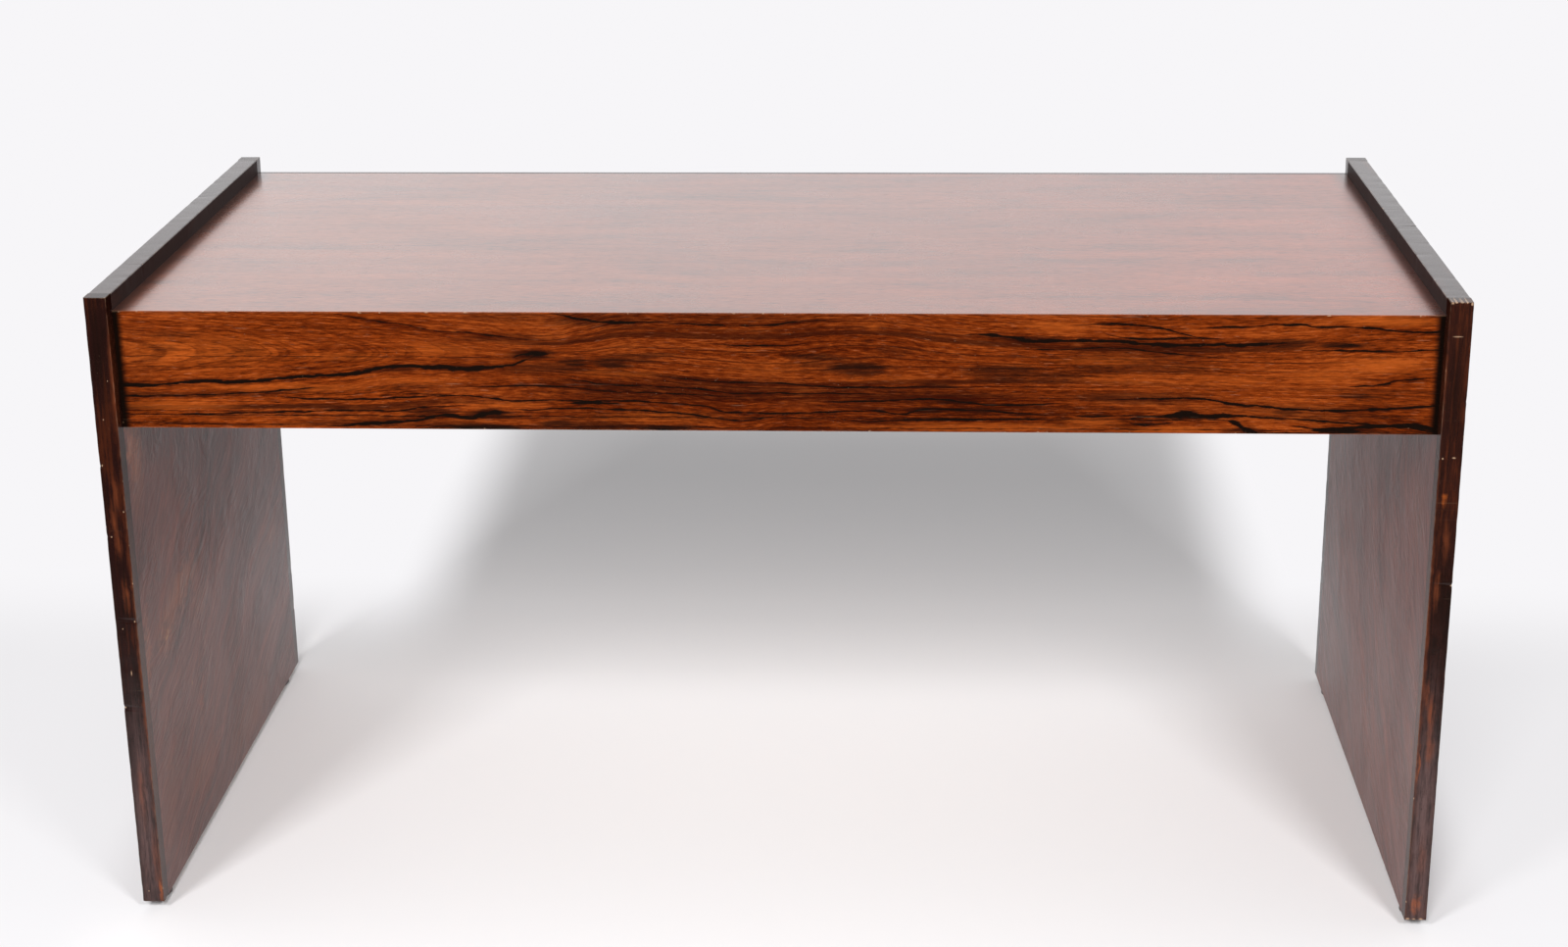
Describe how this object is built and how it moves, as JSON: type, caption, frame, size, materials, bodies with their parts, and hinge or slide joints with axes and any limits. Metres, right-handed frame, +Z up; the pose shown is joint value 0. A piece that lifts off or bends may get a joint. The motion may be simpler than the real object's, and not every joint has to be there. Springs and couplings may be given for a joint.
{
  "type": "office desk",
  "caption": "Veneered office desk: a sunk top hung between slab ends that stand up as lips, a plain mitred fascia on the visitor side and shallow drawers that slide out on the sitter's side.",
  "frame": {"origin": "on the floor under the middle of the desk", "axes": "+X along the desk to the right as seen from the plain fascia's side, +Y from the fascia towards the sitter, the way the drawers open, +Z up"},
  "size_m": [1.5, 0.7, 0.75],
  "materials": {
    "end_veneer": "rosewood veneer, polished lacquer, upright grain",
    "lipping_wood": "solid rosewood lipping, polished lacquer",
    "top_veneer": "rosewood veneer, polished lacquer, grain along the desk",
    "fascia_veneer": "figured rosewood veneer, polished lacquer",
    "drawer_face": "rosewood veneer, polished lacquer, grain along the desk",
    "carcass_wood": "solid beech, sealed, satin",
    "drawer_wood": "solid maple, sealed, satin",
    "plywood": "birch plywood, sealed, satin",
    "dowel_wood": "plain beech dowel",
    "steel": "zinc plated steel",
    "brass": "turned brass",
    "glide_plastic": "dark brown moulded nylon"
  },
  "bodies": {
    "carcass": {"left_end_core": "end_veneer", "left_end_front_lipping": "lipping_wood", "left_end_back_lipping": "lipping_wood", "left_end_top_lipping": "lipping_wood", "right_end_core": "end_veneer", "right_end_front_lipping": "lipping_wood", "right_end_back_lipping": "lipping_wood", "right_end_top_lipping": "lipping_wood", "desk_top": "top_veneer", "top_back_lipping": "lipping_wood", "front_fascia": "fascia_veneer", "mitre_tongue": "plywood", "left_cheek": "carcass_wood", "left_partition": "carcass_wood", "right_partition": "carcass_wood", "right_cheek": "carcass_wood", "under_rail": "carcass_wood", "glue_blocks": "carcass_wood", "left_bay_left_runner": "carcass_wood", "left_bay_right_runner": "carcass_wood", "centre_bay_left_runner": "carcass_wood", "centre_bay_right_runner": "carcass_wood", "right_bay_left_runner": "carcass_wood", "right_bay_right_runner": "carcass_wood", "floor_glides": "glide_plastic", "glide_nails": "steel", "top_dowels": "dowel_wood", "fascia_dowels": "dowel_wood", "cheek_bolts": "steel", "cheek_inserts": "brass", "runner_screws": "steel", "rail_screws": "steel"},
    "left_drawer": {"left_drawer_front": "drawer_face", "left_drawer_left_side": "drawer_wood", "left_drawer_right_side": "drawer_wood", "left_drawer_back": "drawer_wood", "left_drawer_bottom": "plywood"},
    "centre_drawer": {"centre_drawer_front": "drawer_face", "centre_drawer_left_side": "drawer_wood", "centre_drawer_right_side": "drawer_wood", "centre_drawer_back": "drawer_wood", "centre_drawer_bottom": "plywood"},
    "right_drawer": {"right_drawer_front": "drawer_face", "right_drawer_left_side": "drawer_wood", "right_drawer_right_side": "drawer_wood", "right_drawer_back": "drawer_wood", "right_drawer_bottom": "plywood"}
  },
  "joints": [
    {"name": "left_drawer_slide", "type": "slide", "parent": "carcass", "child": "left_drawer", "axis": [0, 1, 0], "range_m": [0, 0.4]},
    {"name": "centre_drawer_slide", "type": "slide", "parent": "carcass", "child": "centre_drawer", "axis": [0, 1, 0], "range_m": [0, 0.4]},
    {"name": "right_drawer_slide", "type": "slide", "parent": "carcass", "child": "right_drawer", "axis": [0, 1, 0], "range_m": [0, 0.4]}
  ]
}
